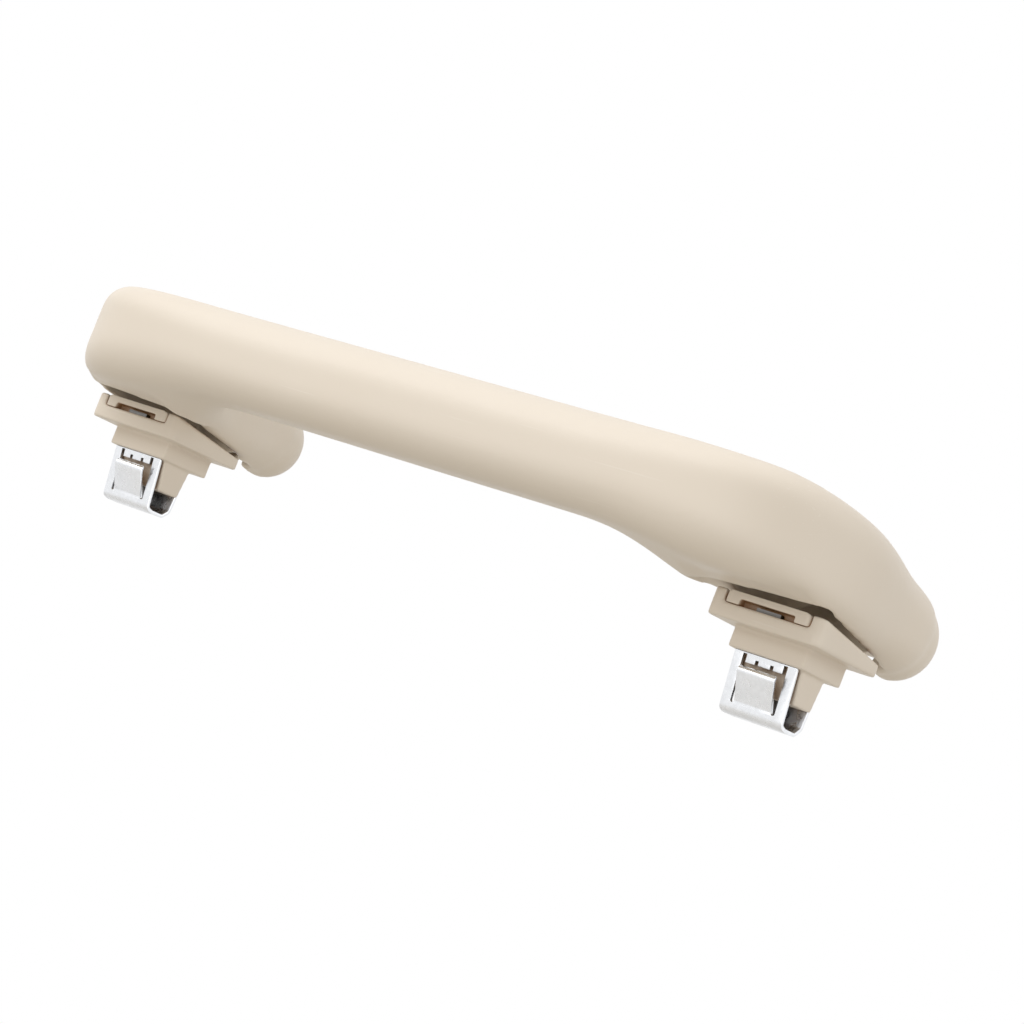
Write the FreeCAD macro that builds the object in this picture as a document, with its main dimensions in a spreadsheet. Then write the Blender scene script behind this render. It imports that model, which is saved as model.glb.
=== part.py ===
"""Roof grab handle: a folding grip on two hinge blocks that clip into the roof.

X runs along the grip, Y from the bar towards the hinge and Z away from the roof. The origin lies midway
between the two fixing blocks, on the plane where the base plates meet the headliner. All sizes are in mm.
"""

import FreeCAD
import Part
import Sketcher
import os
import re
from math import atan2, cos, degrees, hypot, pi, radians, sin

OUTPUT_FOLDER = "parts"
STATION_SHARES = (0.0, 0.08, 0.18, 0.29, 0.4, 0.5, 0.6, 0.7, 0.8, 0.9, 1.0)
ROOT_SHARE = 0.5
TIP_FALL = 1.25
UNDERSIDE_FALL = 1.5
CORNER_SHARE = 0.35
RIM_SHARES = (0.36, 0.72)

SIZES = {
    # Fixing pitch and hinge axis
    "clip_pitch": 200.0,
    "hinge_back": 26.8,
    "hinge_height": 11.9,
    # Bar of the grip
    "bar_front": -40.0,
    "bar_rear": -19.0,
    "bar_underside": 10.5,
    "bar_crest": 32.8,
    "bar_crest_radius": 9.5,
    "bar_underside_radius": 8.0,
    "bar_straight_half": 50.0,
    # Corners and arms of the grip
    "outer_side": 118.4,
    "outer_corner_radius": 33.0,
    "inner_side": 81.5,
    "inner_corner_radius": 24.0,
    "root_crest": 32.2,
    "root_underside": 7.2,
    "root_inner_underside": 4.6,
    "root_crest_radius": 6.5,
    "corner_outer_radius": 9.5,
    "root_outer_radius": 4.5,
    "root_inner_radius": 3.5,
    "rim_front": -17.5,
    "rim_front_height": 7.9,
    "rim_rear": 14.0,
    "rim_rear_height": 3.9,
    # Rounded arm tips
    "tip_radius": 10.2,
    "tip_half_width": 15.8,
    "tip_edge_radius": 9.2,
    "tip_tilt": 14.0,
    # Hollow of each arm
    "hollow_front": -16.2,
    "hollow_rear": 21.0,
    "hollow_front_half": 14.9,
    "hollow_rear_half": 10.5,
    "hollow_ceiling": 20.2,
    "barrel_hollow_radius": 8.0,
    "sweep_slot_half": 6.2,
    "sweep_slot_angle": 36.0,
    "socket_depth": 1.5,
    "key_half": 1.6,
    "key_reach": 8.7,
    "key_length": 3.0,
    # Hinge block
    "plate_half": 15.0,
    "plate_front": -14.8,
    "plate_rear": 12.6,
    "plate_front_height": 6.4,
    "plate_rear_height": 2.8,
    "plate_corner_radius": 2.2,
    "step_half": 10.0,
    "step_front": -9.2,
    "step_rear": 7.6,
    "step_depth": 4.9,
    "tongue_half": 8.9,
    "tongue_front_root": -7.0,
    "tongue_front_end": -5.2,
    "tongue_rear_root": 2.8,
    "tongue_rear_end": 1.8,
    "tongue_end": -12.5,
    "leg_recess": 1.1,
    "knuckle_radius": 6.0,
    "knuckle_half": 5.5,
    "carrier_front": 2.0,
    "carrier_rise": 1.5,
    "carrier_angle": 58.0,
    # Lock wedge and its steel blade
    "head_half": 11.2,
    "head_rear": 1.4,
    "head_seat": 3.5,
    "head_corner_radius": 1.2,
    "stem_half": 4.5,
    "stem_front": -2.7,
    "stem_rear": -0.3,
    "stem_end": -11.5,
    "stem_taper": 2.0,
    "stem_point_half": 0.7,
    "notch_half": 7.25,
    "notch_height": 1.4,
    "notch_depth": 2.4,
    "blade_gauge": 0.8,
    "blade_half": 3.2,
    "blade_end": -16.0,
    "blade_setback": 1.2,
    # Steel clip
    "clip_half": 8.3,
    "clip_gauge": 0.8,
    "clip_top": -5.1,
    "clip_front_top": -8.3,
    "clip_front_low": -6.7,
    "clip_rear_top": 2.75,
    "clip_rear_low": 2.0,
    "clip_low": -16.5,
    "clip_tip_back": -1.0,
    "clip_tip": -18.5,
    "clip_tip_front": 2.0,
    "clip_tip_rear": 1.2,
    "leg_cut_depth": 12.0,
    "window_half": 5.9,
    "window_top": -6.9,
    "window_low": -15.9,
    "tab_half": 5.0,
    "tab_reach": -10.2,
    "tab_top": -8.2,
    "tab_lip": 1.0,
    "tab_bend": 0.5,
    "tooth_gap_half": 0.5,
    "tooth_gap_place": 2.0,
    "tooth_height": 1.2,
    # Pin, return spring and damper
    "pin_radius": 2.2,
    "pin_bevel": 0.4,
    "wire_radius": 0.45,
    "coil_radius": 4.5,
    "coil_pitch": 1.0,
    "coil_turns": 3.25,
    "coil_clearance": 0.15,
    "damper_radius": 6.9,
    "damper_wall": 1.0,
    "cover_gauge": 0.8,
    "rotor_gap": 0.3,
    "seal_radius": 0.6,
    # Fits
    "running_fit": 0.05,
    "slide_fit": 0.15,
    "seat_fit": 0.02,
    "free_gap": 0.3,
    # Overlap of joined forms and overrun of cuts
    "overlap": 1.0,
    "overrun": 2.0,
}

TOUCH = 0.01
SAME_VOLUME = 1e-4
PARALLEL = 1e-6

document = FreeCAD.newDocument("roof_grab_handle")
sheet = document.addObject("Spreadsheet::Sheet", "sizes")
nodes = []


def fill_sheet():
    """Write every size into the sheet, one named row each."""
    for row, (name, value) in enumerate(SIZES.items(), start=1):
        sheet.set(f"A{row}", name)
        sheet.set(f"B{row}", str(value))
        sheet.setAlias(f"B{row}", name)
    document.recompute()


def bound(text):
    """Turn plain size names in a formula into references to the sheet."""
    def reference(word):
        return f"sizes.{word.group(0)}" if word.group(0) in SIZES else word.group(0)

    return re.sub(r"[a-z][a-z_]+", reference, str(text))


def value_of(text):
    """Work out a formula of size names."""
    return float(sheet.evalExpression(bound(text)))


def tie(target, property_name, text):
    """Bind one property of an object to a formula of sizes."""
    target.setExpression(property_name, bound(text))


def start_body(label, across="0"):
    """Begin a sub-part whose own origin sits at the given place along X."""
    body = document.addObject("PartDesign::Body", label)
    body.Label = label
    tie(body, "Placement.Base.x", across)
    nodes.append(body)
    return body


def origin_plane(body, role):
    """Find one of the body's own base planes."""
    return next(item for item in body.Origin.OriginFeatures if item.Role == role)


def start_sketch(body, name, role, shift=("0", "0", "0")):
    """Attach a sketch to a base plane, shifted in the sketch's own axes."""
    sketch = body.newObject("Sketcher::SketchObject", name)
    sketch.AttachmentSupport = [(origin_plane(body, role), "")]
    sketch.MapMode = "FlatFace"
    for axis, text in zip("xyz", shift):
        tie(sketch, f"AttachmentOffset.Base.{axis}", text)
    return sketch


def pin_point(sketch, geometry, end, across, up):
    """Hold one end point at a place given by two formulas."""
    label = f"p{geometry}_{end}"
    for kind, text, tag in (("DistanceX", across, "x"), ("DistanceY", up, "y")):
        limit = Sketcher.Constraint(kind, -1, 1, geometry, end, value_of(text))
        index = sketch.addConstraint(limit)
        sketch.renameConstraint(index, label + tag)
        tie(sketch, f"Constraints.{label}{tag}", text)


def draw_loop(sketch, corners):
    """Close a loop of straight edges through corners that are pairs of formulas."""
    places = [FreeCAD.Vector(value_of(x), value_of(y), 0) for x, y in corners]
    first = sketch.GeometryCount
    count = len(corners)
    for index in range(count):
        following = (index + 1) % count
        sketch.addGeometry(Part.LineSegment(places[index], places[following]), False)
    for index in range(count):
        following = first + (index + 1) % count
        sketch.addConstraint(Sketcher.Constraint("Coincident", first + index, 2, following, 1))
        pin_point(sketch, first + index, 1, *corners[index])


def draw_box(sketch, left, right, low, high):
    """Draw an upright rectangle."""
    draw_loop(sketch, [(left, low), (right, low), (right, high), (left, high)])


def draw_ring(sketch, across, up, radius):
    """Draw a circle whose centre and radius are formulas."""
    centre = FreeCAD.Vector(value_of(across), value_of(up), 0)
    circle = Part.Circle(centre, FreeCAD.Vector(0, 0, 1), value_of(radius))
    index = sketch.addGeometry(circle, False)
    pin_point(sketch, index, 3, across, up)
    limit = sketch.addConstraint(Sketcher.Constraint("Radius", index, value_of(radius)))
    sketch.renameConstraint(limit, f"r{index}")
    tie(sketch, f"Constraints.r{index}", radius)


def draw_hexagon(sketch, across, up, radius):
    """Draw a six-sided stand-in for a thin round wire."""
    draw_loop(sketch, [
        (f"{across} + ({radius}) * {cos(k * pi / 3)}", f"{up} + ({radius}) * {sin(k * pi / 3)}")
        for k in range(6)
    ])


def draw_rounded(sketch, half, lows, high, outer_radius, inner_radius, high_radius):
    """Draw a section about its upright centre line; the inner and outer lower corners may differ."""
    w = value_of(half)
    z_inner, z_outer = [value_of(low) for low in lows]
    z1 = value_of(high)
    r0, r1, r2 = value_of(outer_radius), value_of(high_radius), value_of(inner_radius)
    up = FreeCAD.Vector(0, 0, 1)
    v = FreeCAD.Vector
    lines = [
        (v(-w + r2, z_inner, 0), v(w - r0, z_outer, 0)),
        (v(w, z_outer + r0, 0), v(w, z1 - r1, 0)),
        (v(w - r1, z1, 0), v(-w + r1, z1, 0)),
        (v(-w, z1 - r1, 0), v(-w, z_inner + r2, 0)),
    ]
    corners = [
        (v(w - r0, z_outer + r0, 0), r0, -90, outer_radius),
        (v(w - r1, z1 - r1, 0), r1, 0, high_radius),
        (v(-w + r1, z1 - r1, 0), r1, 90, high_radius),
        (v(-w + r2, z_inner + r2, 0), r2, 180, inner_radius),
    ]
    for line, (centre, radius, turn, text) in zip(lines, corners):
        sketch.addGeometry(Part.LineSegment(*line), False)
        circle = Part.Circle(centre, up, radius)
        arc = Part.ArcOfCircle(circle, radians(turn), radians(turn + 90))
        sketch.addGeometry(arc, False)
    for index in range(8):
        sketch.addConstraint(Sketcher.Constraint("Tangent", index, 2, (index + 1) % 8, 1))
    sketch.addConstraint(Sketcher.Constraint("Vertical", 2))
    for index, (_, radius, _, text) in enumerate(corners):
        limit = sketch.addConstraint(Sketcher.Constraint("Radius", 2 * index + 1, radius))
        sketch.renameConstraint(limit, f"r{index}")
        tie(sketch, f"Constraints.r{index}", text)
    sides = (
        ("inner_low", "DistanceY", 0, 1, lows[0]),
        ("outer_low", "DistanceY", 0, 2, lows[1]),
        ("outer_side", "DistanceX", 2, 1, half),
        ("crest", "DistanceY", 4, 1, high),
        ("inner_side", "DistanceX", 6, 1, f"-({half})"),
    )
    for label, kind, index, end, text in sides:
        limit = sketch.addConstraint(Sketcher.Constraint(kind, -1, 1, index, end, value_of(text)))
        sketch.renameConstraint(limit, label)
        tie(sketch, f"Constraints.{label}", text)


def add_pad(body, name, sketch, length, both_ways=True):
    """Raise a sketch into a solid, evenly to both sides unless told otherwise."""
    pad = body.newObject("PartDesign::Pad", name)
    pad.Profile = sketch
    pad.Midplane = both_ways
    tie(pad, "Length", length)
    return finish(body, pad)


def add_pocket(body, name, sketch, length, both_ways=True, reversed_way=False):
    """Cut a sketch out of the body."""
    pocket = body.newObject("PartDesign::Pocket", name)
    pocket.Profile = sketch
    pocket.Midplane = both_ways
    pocket.Reversed = reversed_way
    tie(pocket, "Length", length)
    return finish(body, pocket)


def add_turned(body, name, sketch, angle="360", cut=False, reversed_way=False):
    """Turn a sketch about its own horizontal axis."""
    kind = "PartDesign::Groove" if cut else "PartDesign::Revolution"
    turned = body.newObject(kind, name)
    turned.Profile = sketch
    turned.ReferenceAxis = (sketch, ["H_Axis"])
    turned.Reversed = reversed_way
    tie(turned, "Angle", angle)
    return finish(body, turned)


def add_rounding(body, name, radius, test, chamfer=False):
    """Round or bevel the edges of the body that pass a test on their middle point and direction."""
    base = body.Tip
    names = [f"Edge{number}" for number, edge in enumerate(base.Shape.Edges, start=1) if test(edge)]
    if not names:
        raise ValueError(f"{body.Label}: no edge found for {name}")
    feature = body.newObject("PartDesign::Chamfer" if chamfer else "PartDesign::Fillet", name)
    feature.Base = (base, names)
    tie(feature, "Size" if chamfer else "Radius", radius)
    return finish(body, feature)


def finish(body, feature):
    """Recompute after a feature and insist that it changed the solid."""
    before = body.Tip.Shape.Volume if body.Tip and body.Tip is not feature else 0.0
    body.Tip = feature
    document.recompute()
    if "Invalid" in feature.State or "Error" in feature.State or not feature.Shape.isValid():
        raise ValueError(f"{body.Label}: {feature.Name} is not sound: {feature.State}")
    if len(feature.Shape.Solids) != 1:
        raise ValueError(f"{body.Label}: {feature.Name} leaves {len(feature.Shape.Solids)} solids")
    if abs(feature.Shape.Volume - before) < SAME_VOLUME:
        raise ValueError(f"{body.Label}: {feature.Name} changes nothing")
    return feature


def middle_of(edge):
    """Give the middle point of an edge."""
    return edge.valueAt(0.5 * (edge.FirstParameter + edge.LastParameter))


def runs_along(edge, axis):
    """Tell whether an edge is straight and parallel to X, Y or Z."""
    if edge.Curve.TypeId != "Part::GeomLine":
        return False
    return abs(abs(edge.Curve.Direction[axis]) - 1.0) < PARALLEL


def contour_point(share, straight, corner, radius, tip):
    """Walk a share of the way along a line, a quarter turn and a line to the arm's tip.

    straight is the start point, corner the sharp corner that the quarter turn rounds off.
    """
    turn_start = (corner[0] - radius, corner[1])
    turn_end = (corner[0], corner[1] + radius)
    lengths = [
        turn_start[0] - straight[0],
        radius * pi / 2,
        hypot(tip[0] - turn_end[0], tip[1] - turn_end[1]),
    ]
    walked = share * sum(lengths)
    if walked <= lengths[0]:
        return straight[0] + walked, straight[1]
    walked -= lengths[0]
    if walked <= lengths[1]:
        angle = walked / radius
        return turn_start[0] + radius * sin(angle), turn_start[1] + radius * (1 - cos(angle))
    part = (walked - lengths[1]) / lengths[2]
    return turn_end[0] + part * (tip[0] - turn_end[0]), turn_end[1] + part * (tip[1] - turn_end[1])


def eased(share):
    """Ease from 0 to 1 without a kink at either end."""
    share = min(max(share, 0.0), 1.0)
    return share * share * (3 - 2 * share)


def arm_station(body, index, share, side):
    """Draw one cross-section of a corner and arm between its inner and outer contours."""
    half_pitch = SIZES["clip_pitch"] / 2
    outer = contour_point(
        share,
        (SIZES["bar_straight_half"], SIZES["bar_front"]),
        (SIZES["outer_side"], SIZES["bar_front"]),
        SIZES["outer_corner_radius"],
        (half_pitch + SIZES["tip_half_width"], SIZES["hinge_back"]),
    )
    inner = contour_point(
        share,
        (SIZES["bar_straight_half"], SIZES["bar_rear"]),
        (SIZES["inner_side"], SIZES["bar_rear"]),
        SIZES["inner_corner_radius"],
        (half_pitch - SIZES["tip_half_width"], SIZES["hinge_back"]),
    )
    turn = degrees(atan2(outer[1] - inner[1], side * (outer[0] - inner[0])))
    half = hypot(outer[0] - inner[0], outer[1] - inner[1]) / 2
    to_root = eased(share / ROOT_SHARE)
    to_tip = max((share - ROOT_SHARE) / (1 - ROOT_SHARE), 0.0) ** TIP_FALL

    def blend(bar, root, tip, first=to_root):
        return f"({bar}) + {first} * (({root}) - ({bar})) + {to_tip} * (({tip}) - ({root}))"

    to_corner = eased(share / CORNER_SHARE)
    to_rim = eased((share - RIM_SHARES[0]) / (RIM_SHARES[1] - RIM_SHARES[0]))
    outer_radius = (
        f"bar_underside_radius + {to_corner} * (corner_outer_radius - bar_underside_radius)"
        f" + {to_rim} * (root_outer_radius - corner_outer_radius)"
        f" + {to_tip * to_rim} * (tip_edge_radius - root_outer_radius)"
    )
    inner_radius = (
        f"bar_underside_radius + {to_rim} * (root_inner_radius - bar_underside_radius)"
        f" + {to_tip * to_rim} * (tip_edge_radius - root_inner_radius)"
    )
    undersides = [
        blend("bar_underside", root, "hinge_height - tip_radius", to_root ** UNDERSIDE_FALL)
        for root in ("root_inner_underside", "root_underside")
    ]
    crest = blend("bar_crest", "root_crest", "hinge_height + tip_radius")
    sketch = start_sketch(body, f"arm_section_{index}", "XZ_Plane")
    height = SIZES["hinge_height"]
    middle = FreeCAD.Vector(side * (outer[0] + inner[0]) / 2, height, -(outer[1] + inner[1]) / 2)
    across = FreeCAD.Vector(1, 0, 0)
    lean = FreeCAD.Rotation(across, -side * to_tip * SIZES["tip_tilt"])
    facing = FreeCAD.Rotation(FreeCAD.Vector(0, 1, 0), turn).multiply(lean)
    for axis in "xyz":
        sketch.setExpression(f"AttachmentOffset.Base.{axis}", None)
    sketch.AttachmentOffset = FreeCAD.Placement(middle, facing)
    draw_rounded(
        sketch,
        str(half),
        [f"{underside} - hinge_height" for underside in undersides],
        f"{crest} - hinge_height",
        outer_radius,
        inner_radius,
        blend("bar_crest_radius", "root_crest_radius", "tip_edge_radius"),
    )
    return sketch


def build_grip():
    """Mould the bar, both arms and their rounded tips, hollowed for the hinges."""
    body = start_body("grip_moulding")
    right = [arm_station(body, index, share, 1) for index, share in enumerate(STATION_SHARES)]
    left = [arm_station(body, index, share, -1) for index, share in enumerate(STATION_SHARES)]
    sections = left[::-1] + [bar_station(body)] + right
    sweep = body.newObject("PartDesign::AdditiveLoft", "bar_and_arms")
    sweep.Profile = sections[0]
    sweep.Sections = sections[1:]
    finish(body, sweep)
    for side in (1, -1):
        round_tip(body, side)
    for side in (1, -1):
        hollow_arm(body, f"{side} * clip_pitch / 2")
    key_start = "clip_pitch / 2 + knuckle_half + free_gap"
    key = start_sketch(body, "key_section", "YZ_Plane", ("hinge_back", "hinge_height", key_start))
    draw_box(key, "-key_half - slide_fit", "key_half + slide_fit", "0", "key_reach")
    add_pocket(body, "damper_keyway", key, "key_length", False, True)


def bar_station(body):
    """Draw the bar's own cross-section at the middle of the handle."""
    section = start_sketch(body, "bar_section", "YZ_Plane", ("(bar_front + bar_rear) / 2", "0", "0"))
    section.AttachmentOffset = FreeCAD.Placement(
        section.AttachmentOffset.Base, FreeCAD.Rotation(FreeCAD.Vector(0, 1, 0), 180))
    draw_rounded(
        section, "(bar_rear - bar_front) / 2", ["bar_underside", "bar_underside"], "bar_crest",
        "bar_underside_radius", "bar_underside_radius", "bar_crest_radius",
    )
    return section


def round_tip(body, side):
    """Close one arm with a tip turned about the hinge axis."""
    place = (f"{side} * clip_pitch / 2", "hinge_height", "-hinge_back")
    half_tip = start_sketch(body, "tip_section", "XZ_Plane", place)
    across = FreeCAD.Vector(1, 0, 0)
    half_tip.AttachmentOffset = FreeCAD.Placement(
        half_tip.AttachmentOffset.Base, FreeCAD.Rotation(across, -SIZES["tip_tilt"]))
    draw_tip_half(half_tip)
    add_turned(body, "tip", half_tip, "180", reversed_way=True)


def hollow_arm(body, centre):
    """Trim one arm's rim and cut its hollow, the knuckle's room, the pin sockets and the sweep slot."""
    rim = start_sketch(body, "rim_section", "YZ_Plane", ("0", "0", centre))
    draw_loop(rim, [
        ("rim_front", "rim_front_height"), ("rim_front", "-overrun"), ("rim_rear", "-overrun"),
        ("rim_rear", "rim_rear_height"),
    ])
    add_pocket(body, "rim_cut", rim, "2 * (outer_side - clip_pitch / 2 + overrun)")

    plan = start_sketch(body, "hollow_plan", "XY_Plane", (centre, "0", "0"))
    draw_loop(plan, [
        ("-hollow_front_half", "hollow_front"), ("hollow_front_half", "hollow_front"),
        ("hollow_rear_half", "hollow_rear"), ("-hollow_rear_half", "hollow_rear"),
    ])
    add_pocket(body, "hollow", plan, "hollow_ceiling", False, True)

    barrel = start_sketch(body, "barrel_section", "XZ_Plane", (centre, "hinge_height", "-hinge_back"))
    draw_box(barrel, "-hollow_rear_half", "hollow_rear_half", "0", "barrel_hollow_radius")
    add_turned(body, "barrel_hollow", barrel, cut=True)

    sockets = start_sketch(body, "socket_section", "XZ_Plane", (centre, "hinge_height", "-hinge_back"))
    reach = "hollow_rear_half + socket_depth + free_gap"
    draw_box(sockets, f"-({reach})", reach, "0", "pin_radius + running_fit")
    add_turned(body, "pin_sockets", sockets, cut=True)

    sweep = start_sketch(body, "sweep_section", "YZ_Plane", ("hinge_back", "hinge_height", centre))
    far = "(tip_radius + overlap)"
    front = "-hinge_back + hollow_rear - overrun"
    rear = f"{far} * cos(sweep_slot_angle * 1 deg)"
    draw_loop(sweep, [
        ("0", "0"), (front, "0"), (front, f"-{far} - overrun"), (rear, f"-{far} - overrun"),
        (rear, f"-{far} * sin(sweep_slot_angle * 1 deg)"),
    ])
    add_pocket(body, "sweep_slot", sweep, "2 * sweep_slot_half")


def draw_tip_half(sketch):
    """Draw the upper half of the tip's section, to be turned about the hinge axis."""
    w = SIZES["tip_half_width"]
    z = SIZES["tip_radius"]
    r = SIZES["tip_edge_radius"]
    v = FreeCAD.Vector
    up = v(0, 0, 1)
    pieces = [
        Part.LineSegment(v(-w, 0, 0), v(w, 0, 0)),
        Part.LineSegment(v(w, 0, 0), v(w, z - r, 0)),
        Part.ArcOfCircle(Part.Circle(v(w - r, z - r, 0), up, r), 0, pi / 2),
        Part.LineSegment(v(w - r, z, 0), v(-w + r, z, 0)),
        Part.ArcOfCircle(Part.Circle(v(-w + r, z - r, 0), up, r), pi / 2, pi),
        Part.LineSegment(v(-w, z - r, 0), v(-w, 0, 0)),
    ]
    for piece in pieces:
        sketch.addGeometry(piece, False)
    for index in range(6):
        kind = "Coincident" if index in (0, 5) else "Tangent"
        sketch.addConstraint(Sketcher.Constraint(kind, index, 2, (index + 1) % 6, 1))
    pin_point(sketch, 0, 1, "-tip_half_width", "0")
    pin_point(sketch, 0, 2, "tip_half_width", "0")
    sketch.addConstraint(Sketcher.Constraint("Vertical", 1))
    sketch.addConstraint(Sketcher.Constraint("Vertical", 5))
    for index in (2, 4):
        limit = sketch.addConstraint(Sketcher.Constraint("Radius", index, r))
        sketch.renameConstraint(limit, f"r{index}")
        tie(sketch, f"Constraints.r{index}", "tip_edge_radius")
    limit = sketch.addConstraint(Sketcher.Constraint("DistanceY", -1, 1, 3, 1, z))
    sketch.renameConstraint(limit, "crest")
    tie(sketch, "Constraints.crest", "tip_radius")


def build_hinge_block(side, across):
    """Mould the base plate, its step, the tongue for the clip and the knuckle that the grip turns on."""
    body = start_body(f"{side}_hinge_block", across)
    plate = start_sketch(body, "plate_section", "YZ_Plane")
    draw_loop(plate, [
        ("plate_front", "0"), ("plate_rear", "0"),
        ("plate_rear", "plate_rear_height"), ("plate_front", "plate_front_height"),
    ])
    add_pad(body, "plate", plate, "2 * plate_half")
    add_rounding(body, "plate_corners", "plate_corner_radius", lambda edge: runs_along(edge, 2))

    step = start_sketch(body, "step_section", "YZ_Plane")
    draw_box(step, "step_front", "step_rear", "-step_depth", "overlap")
    add_pad(body, "step", step, "2 * step_half")

    tongue = start_sketch(body, "tongue_section", "YZ_Plane")
    draw_loop(tongue, [
        ("tongue_front_root", "-step_depth + overlap"), ("tongue_front_root", "-step_depth"),
        ("tongue_front_end", "tongue_end"), ("tongue_rear_end", "tongue_end"),
        ("tongue_rear_root", "-step_depth"), ("tongue_rear_root", "-step_depth + overlap"),
    ])
    add_pad(body, "tongue", tongue, "2 * tongue_half")

    carrier = start_sketch(body, "carrier_section", "YZ_Plane")
    neck = "hinge_back - knuckle_radius * cos(carrier_angle * 1 deg)"
    neck_half = "knuckle_radius * sin(carrier_angle * 1 deg)"
    draw_loop(carrier, [
        ("carrier_front", "plate_rear_height / 2"), ("plate_rear", "plate_rear_height"),
        (neck, f"hinge_height - {neck_half}"), ("hinge_back", "hinge_height"),
        (neck, f"hinge_height + {neck_half}"), ("carrier_front", "plate_front_height + carrier_rise"),
    ])
    add_pad(body, "carrier", carrier, "2 * knuckle_half")
    knuckle = start_sketch(body, "knuckle_section", "YZ_Plane")
    draw_ring(knuckle, "hinge_back", "hinge_height", "knuckle_radius")
    add_pad(body, "knuckle", knuckle, "2 * knuckle_half")
    bore = start_sketch(body, "bore_section", "YZ_Plane")
    draw_ring(bore, "hinge_back", "hinge_height", "pin_radius + seat_fit")
    add_pocket(body, "pin_bore", bore, "2 * (knuckle_half + overlap)")

    seat = start_sketch(body, "head_seat_plan", "XY_Plane", ("0", "0", "head_seat"))
    draw_box(
        seat, "-head_half - slide_fit", "head_half + slide_fit", "plate_front - overlap",
        "head_rear + slide_fit",
    )
    add_pocket(body, "head_recess", seat, "plate_front_height", False, True)
    slot = start_sketch(body, "stem_slot_plan", "XY_Plane", ("0", "0", "tongue_end - overlap"))
    draw_box(
        slot, "-stem_half - slide_fit", "stem_half + slide_fit", "stem_front - slide_fit",
        "stem_rear + slide_fit",
    )
    add_pocket(body, "stem_slot", slot, "head_seat - tongue_end + 2 * overlap", False, True)

    recess = start_sketch(body, "leg_recess_section", "YZ_Plane")
    draw_loop(recess, [
        ("tongue_rear_root - leg_recess", "-step_depth"), ("tongue_rear_root + overlap", "-step_depth"),
        ("tongue_rear_end + overlap", "tongue_end - overlap"),
        ("tongue_rear_end - leg_recess", "tongue_end - overlap"),
    ])
    add_pocket(body, "leg_recess", recess, "2 * (clip_half + slide_fit)")
    return body


def build_lock_wedge(side, across):
    """Mould the wedge whose head lies flush in the base plate and whose stem spreads the clip."""
    body = start_body(f"{side}_lock_wedge", across)
    slope = "(plate_front_height - plate_rear_height) / (plate_rear - plate_front)"
    head = start_sketch(body, "head_section", "YZ_Plane")
    draw_loop(head, [
        ("plate_front", "head_seat + seat_fit"), ("head_rear", "head_seat + seat_fit"),
        ("head_rear", f"plate_front_height - (head_rear - plate_front) * {slope}"),
        ("plate_front", "plate_front_height"),
    ])
    add_pad(body, "head", head, "2 * head_half")
    front = value_of("plate_front")
    side_face = value_of("head_half")
    above_notch = value_of("head_seat + notch_height")

    def is_front_corner(edge):
        return runs_along(edge, 2) and abs(middle_of(edge).y - front) < TOUCH

    def is_side_top(edge):
        middle = middle_of(edge)
        on_side = abs(abs(middle.x) - side_face) < TOUCH
        return on_side and middle.z > above_notch and not runs_along(edge, 2)

    add_rounding(
        body, "head_corners", "head_corner_radius",
        lambda edge: is_front_corner(edge) or is_side_top(edge),
    )
    stem = start_sketch(body, "stem_section", "YZ_Plane")
    middle = "(stem_front + stem_rear) / 2"
    draw_loop(stem, [
        ("stem_front", "head_seat + overlap"), ("stem_front", "stem_end + stem_taper"),
        (f"{middle} - stem_point_half", "stem_end"), (f"{middle} + stem_point_half", "stem_end"),
        ("stem_rear", "stem_end + stem_taper"), ("stem_rear", "head_seat + overlap"),
    ])
    add_pad(body, "stem", stem, "2 * stem_half")
    notch = start_sketch(body, "notch_section", "YZ_Plane")
    draw_box(
        notch, "plate_front - overlap", "plate_front + notch_depth", "head_seat - overlap",
        "head_seat + notch_height",
    )
    add_pocket(body, "pry_notch", notch, "2 * notch_half")
    channel = start_sketch(body, "blade_channel_section", "YZ_Plane")
    half = "(blade_gauge / 2 + seat_fit)"
    draw_loop(channel, [
        ("plate_front", "head_seat - overlap"), (f"{middle} - {half}", "head_seat - overlap"),
        (f"{middle} - {half}", "stem_end - overlap"), (f"{middle} + {half}", "stem_end - overlap"),
        (f"{middle} + {half}", "head_seat + blade_gauge + 2 * seat_fit"),
        ("plate_front", "head_seat + blade_gauge + 2 * seat_fit"),
    ])
    add_pocket(body, "blade_channel", channel, "2 * (blade_half + seat_fit)")
    return body


def build_wedge_blade(side, across):
    """Bend the steel blade that lies behind the pry notch and runs down the stem into the clip."""
    body = start_body(f"{side}_wedge_blade", across)
    middle = "(stem_front + stem_rear) / 2"
    section = start_sketch(body, "blade_section", "YZ_Plane")
    low = "head_seat + seat_fit"
    start = "plate_front + blade_setback"
    draw_loop(section, [
        (start, low), (f"{middle} - blade_gauge / 2", low),
        (f"{middle} - blade_gauge / 2", "blade_end"), (f"{middle} + blade_gauge / 2", "blade_end"),
        (f"{middle} + blade_gauge / 2", f"{low} + blade_gauge"), (start, f"{low} + blade_gauge"),
    ])
    add_pad(body, "blade", section, "2 * blade_half")
    return body


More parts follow.
